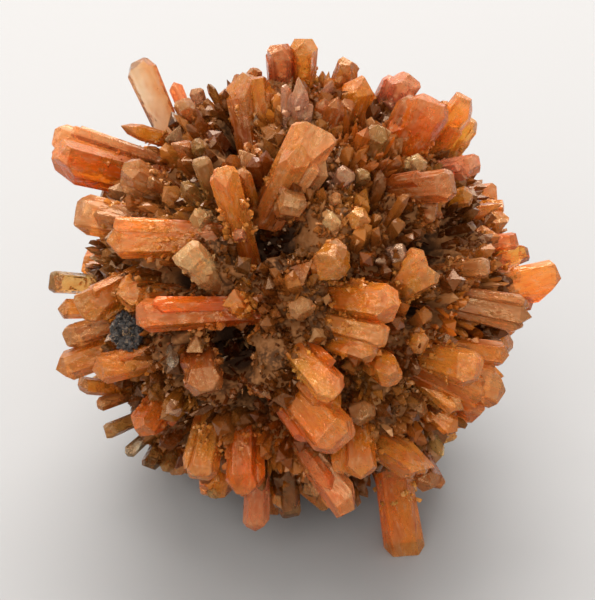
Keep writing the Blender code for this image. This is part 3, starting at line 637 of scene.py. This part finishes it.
def solid_shape(root, tip, left, near, width, thick, section, planes, rng):
    """A convex crystal cut by its planes and the floor, with uneven sides and its edges a little worn."""
    section = [(u * rng.uniform(*UNEVEN), v * rng.uniform(*UNEVEN)) for u, v in section]
    shape = hull_of(
        centre + left * (u * scale * width / 2) + near * (v * scale * thick / 2)
        for centre, scale in ((root, ROOT_TAPER), (tip, 1.0))
        for u, v in section
    )
    for point, normal in planes:
        shape = cut(shape, point, normal)
    floor = -BALL_CENTRE.z
    if min(vert.co.z for vert in shape.verts) < floor:
        shape = cut(shape, Vector((0.0, 0.0, floor)), Vector((0.0, 0.0, -1.0)))
    bmesh.ops.dissolve_limit(shape, angle_limit=FLAT_WITHIN, verts=shape.verts[:], edges=shape.edges[:])
    bmesh.ops.recalc_face_normals(shape, faces=shape.faces[:])
    bmesh.ops.bevel(
        shape, geom=shape.edges[:], offset=EDGE_ROUNDING, segments=1, affect="EDGES", clamp_overlap=True
    )
    return shape


def varied(tone, rng, amount):
    """A colour a little lighter or darker and a little redder or yellower."""
    light = 1.0 + rng.uniform(-amount, amount)
    warm = rng.uniform(-amount, amount) * 0.5
    return tuple(max(c * light * (1.0 + shift), 0.01) for c, shift in zip(tone, (0.0, warm, warm * 1.5)))


def add_companion(pile, host, tones, start, visible, slot, rng):
    """A narrower crystal that grew along a host."""
    angle = rng.uniform(0.0, 2.0 * math.pi)
    width = host.width * rng.uniform(*COMPANION_SHARE)
    sideways = host.left * math.cos(angle) + host.near * math.sin(angle)
    reach = math.hypot(math.cos(angle) * host.width, math.sin(angle) * host.thick) / 2
    offset = sideways * (reach - width * rng.uniform(*COMPANION_SUNK))
    step = min(rng.uniform(*COMPANION_STEP), visible * COMPANION_MOST_STEP)
    tip = host.tip - host.axis * step + offset + sideways * (visible * COMPANION_SPLAY * rng.random())
    root = host.root + offset * COMPANION_GATHER
    axis = (tip - root).normalized()
    left, near = turned_axes(axis, rng.uniform(0.0, math.pi))
    facets = ENDS[rng.choice(COMPANION_ENDS)]
    planes = end_planes(tip, (left, near, axis), width, facets, COMPANION_JITTER_DEG, rng)
    if tip.z < COMPANION_LOWEST - BALL_CENTRE.z:
        return
    thick = width * rng.uniform(*COMPANION_THICKNESS)
    shape = solid_shape(root, tip, left, near, width, thick, FLAT_SECTION, planes, rng)
    side = 0.5 + math.cos(angle) * 0.5
    tone = [right + (left_hand - right) * side for left_hand, right in zip(*tones)]
    tone = varied(tone, rng, COMPANION_TONE_SPREAD)
    pile.add(shape, (left, near, axis), start, visible, width, (tone, tone), slot)


def add_crystal(pile, solid, rng):
    """A crystal and the narrower ones that grew along it."""
    tones = [linear(name) for name in TWO_TONES.get(solid.name, (solid.tone, solid.tone))]
    glassy = solid.name in GLASSY_NAMES
    slot = 0 if glassy else 1
    visible = max((solid.tip - solid.root).length - BURIED, 1.0)
    start = solid.root + solid.axis * BURIED
    axes = solid.left, solid.near, solid.axis
    shape = solid_shape(
        solid.root, solid.tip, *axes[:2], solid.width, solid.thick, solid.section, solid.planes, rng
    )
    own = [varied(tone, rng, TONE_SPREAD) for tone in tones]
    pile.add(shape, axes, start, visible, solid.width, own, slot)
    if solid.width < COMPANION_HOST or glassy:
        return
    for _ in range(rng.randint(*COMPANION_NUMBER)):
        add_companion(pile, solid, tones, start, visible, slot, rng)


def wide_pit_at(direction):
    """How deep in a pit a direction is, 0 to 1 or more, with the pits wider and their borders ragged."""
    nearness = pit_nearness(direction, PIT_SPREAD)
    if nearness <= -0.5:
        return 0.0
    return max(0.0, nearness + noise.fractal(direction * PIT_LUMPS, 0.8, 2.0, 3) * PIT_RAGGED)


def shade_at(direction):
    """How light the druse is in a direction, 1 where it is plain: patches of painted shade, and painted
    shade in the pits.
    """
    # painted shade: dark patches laid by noise over the druse
    shade_noise = noise.fractal(direction * PAINTED_SHADE_PATCHES + Vector((1.0, 6.0, 2.5)), 0.9, 2.0, 3)
    shade_patch = min(max(0.5 + shade_noise * 1.6, 0.0), 1.0)
    return (1.0 - PAINTED_PATCH_SHADE * shade_patch) * (1.0 - PIT_SHADE * min(wide_pit_at(direction) * 2.0, 1.0))


def sugar_at(direction):
    """How high the smallest crystals are heaped in a direction, 0 to 1."""
    return min(max(noise.noise(direction * SUGAR_PATCHES + Vector((5.0, 2.0, 8.0))) * 3.0, 0.0), 1.0)


def body_height(direction):
    """The radius of the rough body in a direction."""
    coarse = noise.fractal(direction * BODY_LUMPS[0] + Vector((7.0, 1.0, 4.0)), 1.0, 2.0, 3)
    fine = noise.fractal(direction * BODY_LUMPS[1], 0.8, 2.1, 3)
    radius = BODY_RADIUS + BODY_ROUGHNESS * (coarse * 1.3 + fine * 0.5) + SUGAR_LIFT * sugar_at(direction)
    pit = wide_pit_at(direction)
    if pit > 0.0:
        ease = min(pit * 1.7, 1.0)
        ease = ease * ease * (3.0 - 2.0 * ease)
        radius += (PIT_FLOOR - radius) * ease
    return min(radius, (BALL_CENTRE.z - FLOOR_GAP) / max(-direction.z, 0.5))


def body_mesh():
    """The rough body that the crystals stand on."""
    body = bmesh.new()
    bmesh.ops.create_icosphere(body, subdivisions=BODY_SUBDIVISIONS, radius=1.0)
    for vert in body.verts:
        direction = vert.co.normalized()
        vert.co = (direction * body_height(direction) + BALL_CENTRE) * MM
    mesh = bpy.data.meshes.new("body")
    body.to_mesh(mesh)
    body.free()
    mesh.shade_smooth()
    return mesh


# One small crystal of the druse: a rhombic prism with a roof, base at 0 and tip at 1 along its axis
DRUSE_POINTS = np.array([
    (0.85, 0.0, 0.0), (0.0, 0.70, 0.0), (-0.85, 0.0, 0.0), (0.0, -0.70, 0.0),
    (1.0, 0.0, 0.76), (0.0, 0.82, 0.86), (-1.0, 0.0, 0.76), (0.0, -0.82, 0.86),
    (0.0, 0.45, 1.0), (0.0, -0.45, 1.0),
])
DRUSE_FACES = (
    (3, 2, 1, 0), (0, 1, 5, 4), (1, 2, 6, 5), (2, 3, 7, 6), (3, 0, 4, 7),
    (4, 5, 8), (5, 6, 8), (6, 7, 9), (7, 4, 9), (4, 8, 9), (6, 9, 8),
)


def druse_mesh(name, roots, axes, widths, lengths, tones, rng):
    """Many small crystals joined in one mesh."""
    count, per = len(roots), len(DRUSE_POINTS)
    helper = rng.normal(size=(count, 3))
    left = np.cross(axes, helper)
    left /= np.linalg.norm(left, axis=1, keepdims=True)
    near = np.cross(axes, left)
    wobble = 1.0 + rng.uniform(-DRUSE_UNEVEN, DRUSE_UNEVEN, size=(count, per, 3))
    local = DRUSE_POINTS[None] * wobble
    across = local[..., 0:1] * widths[:, None, None] / 2
    deep = local[..., 1:2] * widths[:, None, None] / 2
    high = local[..., 2:3] * lengths[:, None, None]
    points = roots[:, None] + left[:, None] * across + near[:, None] * deep + axes[:, None] * high
    points[..., 2] = np.maximum(points[..., 2], FLOOR_GAP / 2 - BALL_CENTRE.z)
    points = (points + np.array(BALL_CENTRE)) * MM
    faces = [tuple(i * per + corner for corner in face) for i in range(count) for face in DRUSE_FACES]
    mesh = bpy.data.meshes.new(name)
    mesh.from_pydata(points.reshape(-1, 3).tolist(), [], faces)
    grain = np.concatenate([across, deep, high], axis=2) + rng.uniform(0, 40, size=(count, 1, 3))
    along = np.clip(local[..., 2], 0.0, 1.0)
    tone = np.concatenate([tones, np.ones((count, 1))], axis=1)
    write_attributes(mesh, grain.reshape(-1, 3), along.ravel(), np.repeat(tone, per, axis=0))
    return mesh


def druse_tones(directions, rng):
    """Patches of each tone that run into each other, each crystal a little different."""
    kinds = [np.array(linear(name)) for name in DRUSE_TONES]
    offsets = [Vector((3.7 * k, 9.1 * k, 2.3 * k)) for k in range(len(kinds))]
    tones = np.empty((len(directions), 3))
    for i, direction in enumerate(directions):
        place = Vector(direction)
        heights = [noise.noise(place * DRUSE_PATCHES + offset) for offset in offsets]
        weights = [math.exp(DRUSE_CONTRAST * height) for height in heights]
        tones[i] = sum(weight * kind for weight, kind in zip(weights, kinds)) / sum(weights)
        # painted shade, in patches and in the pits
        tones[i] *= shade_at(place) ** PAINTED_SHADE_HUE
    pale = rng.random(len(directions)) < PALE_SHARE
    tones[pale] = tones[pale] * 0.4 + np.array(linear("peach")) * 0.6
    tones *= DRUSE_DARKER * (1.0 + PALER_EAST * np.array(directions)[:, :1])
    return tones * rng.uniform(*DRUSE_LIGHTNESS, size=(len(directions), 1))


def scattered(count, rng):
    """Directions over the ball, fewer in the pits."""
    kept = []
    while len(kept) < count:
        direction = rng.normal(size=3)
        direction /= np.linalg.norm(direction)
        if wide_pit_at(Vector(direction)) == 0.0 or rng.random() < PIT_SHARE:
            kept.append(direction)
    return np.array(kept)


def druse_on_body(name, count, widths, lengths, lean, under_sugar, seed):
    """Small crystals that stand on the body, or under its heaps, each leaning its own way."""
    rng = np.random.default_rng(seed)
    directions = scattered(count, rng)
    places = [Vector(direction) for direction in directions]
    heights = np.array([body_height(place) for place in places])
    if under_sugar:
        heights -= SUGAR_LIFT * np.array([sugar_at(place) for place in places])
    swirl = np.array([noise.noise_vector(place * SHEAVES) for place in places])
    axes = directions + swirl * SHEAF_LEAN + rng.normal(scale=lean, size=directions.shape)
    axes /= np.linalg.norm(axes, axis=1, keepdims=True)
    width = widths[0] + (widths[1] - widths[0]) * rng.random(count) ** MOSTLY_SMALL
    length = lengths[0] + (lengths[1] - lengths[0]) * rng.random(count)
    roots = directions * (heights - DRUSE_SUNK)[:, None]
    return druse_mesh(name, roots, axes, width, length, druse_tones(directions, rng), rng)


def crust_on_crystals(solids):
    """Small crystals on the sides of the large ones, most of them near the root."""
    rng = np.random.default_rng(SEED + 5)
    hosts = [solid for solid in solids if solid.width > FINE_WIDTH and solid.name not in GLASSY_NAMES]
    weights = [solid.width * (SPARKLY_WEIGHT if solid.name == SPARKLY_NAME else 1.0) for solid in hosts]
    share = np.array(weights) ** 1.5
    tan = np.array(linear("tan"))
    roots, axes, tones = [], [], []
    for pick in rng.choice(len(hosts), size=CRUST_COUNT, p=share / share.sum()):
        host = hosts[pick]
        sparkly = host.name == SPARKLY_NAME
        angle = rng.uniform(0.0, 2.0 * math.pi)
        visible = (host.tip - host.root).length - BURIED
        if sparkly:
            up = BURIED + visible * rng.random() ** SPARKLY_SPREAD
        else:
            up = BURIED + visible * (rng.random() ** CRUST_NEAR_ROOT * CRUST_REACH)
        scale = ROOT_TAPER + (1.0 - ROOT_TAPER) * up / (visible + BURIED)
        across = host.left * (math.cos(angle) * host.width / 2)
        out = across + host.near * (math.sin(angle) * host.thick / 2)
        outward = rng.random() ** SPARKLY_SPREAD if sparkly else CRUST_OUT
        place = host.root + host.axis * up + out * scale * outward
        axis = out.normalized() * rng.uniform(0.25, 1.0) + host.axis * rng.uniform(0.2, 1.0)
        roots.append(place)
        axes.append(axis.normalized())
        own = np.array(linear(host.tone))
        tones.append(own if sparkly else own * (1.0 - CRUST_TAN) + tan * CRUST_TAN)
    roots, axes = np.array(roots), np.array(axes)
    least, most = CRUST_WIDTHS
    widths = least + (most - least) * rng.random(CRUST_COUNT) ** MOSTLY_SMALL
    lengths = rng.uniform(*CRUST_LENGTHS, size=CRUST_COUNT)
    tones = np.array(tones) * rng.uniform(*CRUST_LIGHTNESS, size=(CRUST_COUNT, 1))
    return druse_mesh("druse_crust", roots - axes * CRUST_SUNK, axes, widths, lengths, tones, rng)


class Nodes:
    """Builds a material's nodes."""

    def __init__(self, name):
        self.material = bpy.data.materials.new(name)
        self.material.use_nodes = True
        self.tree = self.material.node_tree
        self.shader = self.tree.nodes["Principled BSDF"]

    def feed(self, node, sockets):
        """Sets a node's sockets to numbers and colours, and links those that another node feeds."""
        for key, value in sockets.items():
            socket = node.inputs[key]
            if isinstance(value, bpy.types.NodeSocket):
                self.tree.links.new(value, socket)
            elif socket.type == "RGBA":
                socket.default_value = (*value, 1.0)
            else:
                socket.default_value = value

    def add(self, kind, sockets, output=0, **settings):
        """Adds a node and gives one of its outputs."""
        node = self.tree.nodes.new("ShaderNode" + kind)
        for key, value in settings.items():
            setattr(node, key, value)
        self.feed(node, sockets)
        return node.outputs[output]

    def attribute(self, name, output):
        return self.add("Attribute", {}, output, attribute_name=name)

    def math(self, operation, a, b):
        return self.add("Math", {0: a, 1: b}, operation=operation)

    def scaled(self, vector, scale):
        return self.add("VectorMath", {0: vector, 1: scale}, operation="MULTIPLY")

    def noise(self, vector, scale, detail):
        return self.add("TexNoise", {"Vector": vector, "Scale": scale, "Detail": detail}, "Fac")

    def ramp(self, value, low, high, to_low=0.0, to_high=1.0):
        sockets = {"Value": value, "From Min": low, "From Max": high, "To Min": to_low, "To Max": to_high}
        return self.add("MapRange", sockets, interpolation_type="SMOOTHSTEP")

    def mix(self, factor, a, b, blend="MIX"):
        return self.add("Mix", {0: factor, 6: a, 7: b}, 2, data_type="RGBA", blend_type=blend)

    def bump(self, strength, distance, **sockets):
        return self.add("Bump", {"Strength": strength, "Distance": distance, **sockets})


def crystal_material(name, transmission, density, absorbed, pale_share, roughness):
    """Clear crystal, deeper in colour towards its root, striated along its length and frosted in patches."""
    nodes = Nodes(name)
    along = nodes.attribute("along", "Fac")
    grain = nodes.attribute("grain", "Vector")
    cloud = nodes.noise(nodes.scaled(grain, (1.0, 1.0, 0.45)), 0.55, 3.0)
    streak = nodes.noise(nodes.scaled(grain, (3.2, 3.2, 0.16)), 1.0, 3.0)
    veil = nodes.noise(nodes.scaled(grain, (1.6, 0.9, 0.5)), 1.3, 5.0)
    speck = nodes.noise(grain, 4.0, 4.0)
    tipward = nodes.math("ADD", along, nodes.math("MULTIPLY", nodes.math("SUBTRACT", cloud, 0.5), 0.9))
    # In turn: clouds, the root, the tip, streaks, veils, stains and specks
    colour = nodes.attribute("tone", "Color")
    for value, low, high, share_low, share_high, tint, blend in (
        (cloud, 0.38, 0.66, 0.0, 0.8, (0.90, 0.62, 0.40), "MULTIPLY"),
        (along, 0.0, 0.75, 0.95, 0.0, (0.60, 0.33, 0.18), "MULTIPLY"),
        (tipward, 0.62, 1.10, 0.0, pale_share, (0.75, 0.42, 0.17), "MIX"),
        (streak, 0.46, 0.70, 0.0, 0.12, (0.70, 0.42, 0.22), "MIX"),
        (veil, 0.55, 0.70, 0.0, 0.40, (0.86, 0.56, 0.30), "MIX"),
        (veil, 0.46, 0.34, 0.0, 0.45, (0.80, 0.38, 0.16), "MULTIPLY"),
        (speck, 0.60, 0.74, 0.0, 0.30, (0.20, 0.07, 0.02), "MIX"),
    ):
        colour = nodes.mix(nodes.ramp(value, low, high, share_low, share_high), colour, tint, blend)
    ridges = nodes.noise(nodes.scaled(grain, (7.0, 7.0, 0.35)), 1.0, 4.0)
    swells = nodes.noise(nodes.scaled(grain, (1.0, 1.0, 0.6)), 0.9, 2.0)
    waves = nodes.bump(0.6, 0.6 * MM, Height=swells)
    fine = nodes.math("ADD", ridges, nodes.math("MULTIPLY", speck, 0.5))
    surface = {
        "Base Color": colour,
        "Roughness": nodes.ramp(cloud, 0.40, 0.66, *roughness),
        "IOR": CREEDITE_IOR,
        "Transmission Weight": transmission,
        "Specular Tint": CRYSTAL_GLOSS,
        "Normal": nodes.bump(0.20, 0.06 * MM, Height=fine, Normal=waves),
    }
    nodes.feed(nodes.shader, surface)
    volume = nodes.add("VolumeAbsorption", {"Color": absorbed, "Density": density})
    nodes.feed(nodes.tree.nodes["Material Output"], {"Volume": volume})
    return nodes.material


def druse_material():
    """The small crystals: less clear, with glinting faces."""
    nodes = Nodes("druse")
    speck = nodes.noise(nodes.attribute("grain", "Vector"), 2.2, 3.0)
    rooted = nodes.ramp(nodes.attribute("along", "Fac"), 0.0, 0.75, 0.55, 0.0)
    dark = nodes.mix(rooted, nodes.attribute("tone", "Color"), (0.40, 0.22, 0.13), "MULTIPLY")
    surface = {
        "Base Color": nodes.mix(nodes.ramp(speck, 0.52, 0.70, 0.0, 0.20), dark, (0.50, 0.28, 0.14)),
        "Roughness": nodes.ramp(speck, 0.35, 0.65, 0.04, 0.26),
        "IOR": CREEDITE_IOR,
        "Transmission Weight": 0.60,
        "Specular Tint": DRUSE_GLOSS,
        "Specular IOR Level": 0.35,
    }
    nodes.feed(nodes.shader, surface)
    return nodes.material


def body_material():
    """Dark brown crystal mass in the gaps, with painted shade that makes it nearly black in the pits."""
    nodes = Nodes("body")
    place = nodes.add("TexCoord", {}, "Object")
    patch = nodes.noise(place, 260.0, 4.0)
    grit = nodes.noise(place, 1500.0, 5.0)
    colour = nodes.mix(nodes.ramp(patch, 0.38, 0.62), (0.050, 0.020, 0.008), (0.17, 0.065, 0.020))
    colour = nodes.mix(nodes.ramp(grit, 0.45, 0.65), colour, (0.20, 0.085, 0.032))
    radius = nodes.add("VectorMath", {0: place, 1: BALL_CENTRE * MM}, "Value", operation="DISTANCE")
    # painted shade: nearly black where the body sinks into the pits
    painted_pit_shade = nodes.ramp(radius, (BODY_RADIUS - 1.5) * MM, (BODY_RADIUS - 4.0) * MM)
    surface = {
        "Base Color": nodes.mix(painted_pit_shade, colour, (0.030, 0.013, 0.007)),
        "Roughness": nodes.ramp(grit, 0.3, 0.7, 0.5, 0.9),
        "Specular Tint": DRUSE_GLOSS,
        "Specular IOR Level": 0.2,
        "Normal": nodes.bump(0.8, 0.3 * MM, Height=grit),
    }
    nodes.feed(nodes.shader, surface)
    return nodes.material


def build_ball():
    """The whole crystal ball."""
    noise.seed_set(SEED)  # noise_vector starts from the clock otherwise
    rng, tones, detail = (random.Random(SEED + i) for i in range(3))
    solids = [*foot_solids(rng), *face_solids(rng)]
    faced = len(solids)
    solids += grown(LARGE, solids, rng, tones, LARGE_TONES)
    solids += grown(SMALL, solids, rng, tones, SMALL_TONES)
    materials = crystal_material("creedite_clear", **CLEAR), crystal_material("creedite_orange", **ORANGE)
    face, others = Pile(), Pile()
    for index, solid in enumerate(solids):
        add_crystal(face if index < faced else others, solid, detail)
    face.build("face_crystals", materials)
    others.build("other_crystals", materials)
    placed("body", body_mesh()).data.materials.append(body_material())
    meshes = [druse_on_body(*kind) for kind in DRUSE]
    meshes.append(crust_on_crystals(solids))
    druse = druse_material()
    for mesh in meshes:
        mesh.materials.append(druse)
        placed(mesh.name, mesh)


def build_table():
    """A plain pale table."""
    nodes = Nodes("table")
    nodes.feed(nodes.shader, {"Base Color": TABLE_COLOUR, "Roughness": TABLE_ROUGHNESS})
    half = TABLE_SIZE / 2
    corners = [(-half, -half, 0), (half, -half, 0), (half, half, 0), (-half, half, 0)]
    mesh = bpy.data.meshes.new("table")
    mesh.from_pydata(corners, [], [(0, 1, 2, 3)])
    mesh.materials.append(nodes.material)
    linked("table", mesh)


def build_light(name, place, size, power, colour):
    """A soft box that faces the ball."""
    lamp = bpy.data.lights.new(name, "AREA")
    lamp.shape = "RECTANGLE"
    lamp.size, lamp.size_y = size
    lamp.energy = power
    lamp.color = colour
    box = linked(name, lamp)
    box.location = place
    box.rotation_euler = (BALL_CENTRE * MM - Vector(place)).to_track_quat("-Z", "Y").to_euler()


def build_sky():
    world = bpy.data.worlds.new("studio")
    bpy.context.scene.world = world
    world.use_nodes = True
    background = world.node_tree.nodes["Background"]
    background.inputs["Color"].default_value = (*SKY_COLOUR, 1.0)
    background.inputs["Strength"].default_value = SKY_STRENGTH


def build_camera():
    lens = bpy.data.cameras.new("camera")
    lens.sensor_fit = "VERTICAL"
    lens.sensor_height = SENSOR
    lens.lens = SENSOR * CAMERA_DISTANCE / FRAME_HEIGHT
    camera = linked("camera", lens)
    turn = Matrix((ACROSS_FACE, UP_FACE, TO_VIEWER)).transposed().to_4x4()
    turn.translation = BALL_CENTRE * MM + TO_VIEWER * CAMERA_DISTANCE - UP_FACE * BELOW_MIDDLE
    camera.matrix_world = turn
    bpy.context.scene.camera = camera


bpy.context.scene.view_settings.view_transform = "Standard"
build_ball()
build_table()
for lamp in LIGHTS:
    build_light(*lamp)
build_sky()
build_camera()
